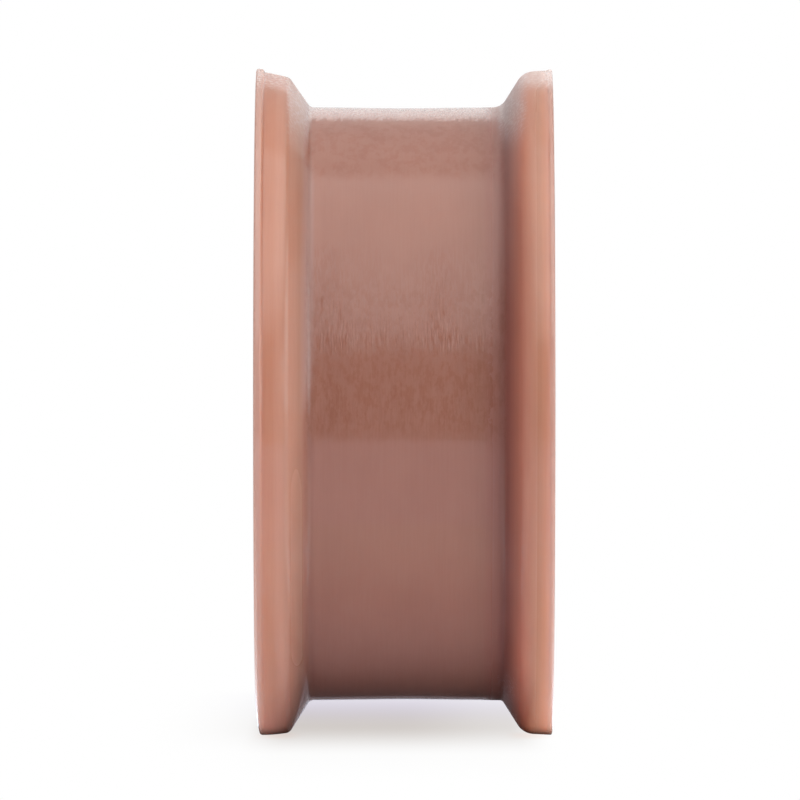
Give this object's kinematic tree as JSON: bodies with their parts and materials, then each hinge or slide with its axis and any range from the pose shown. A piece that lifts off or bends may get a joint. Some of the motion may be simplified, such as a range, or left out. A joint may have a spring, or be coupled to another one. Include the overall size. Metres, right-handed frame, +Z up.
{
  "type": "ear gauge plug",
  "caption": "Solid double-flared ear gauge plug in skin-tone silicone, with a plain saddle between a crisp flare and a rolled flare.",
  "frame": {"origin": "centre of the plug: on its axis, halfway between its end faces", "axes": "+X along the plug's axis, towards the flare with the rolled shoulder; +Z up, with the plug standing on the rims of its two flares; +Y away from the viewer of the picture"},
  "size_m": [0.0126, 0.0286, 0.0286],
  "materials": {
    "silicone": "satin skin-tone silicone, slightly translucent at the flares, with fine streaks round the saddle"
  },
  "bodies": {
    "root": {"plug_body": "silicone"}
  },
  "joints": []
}
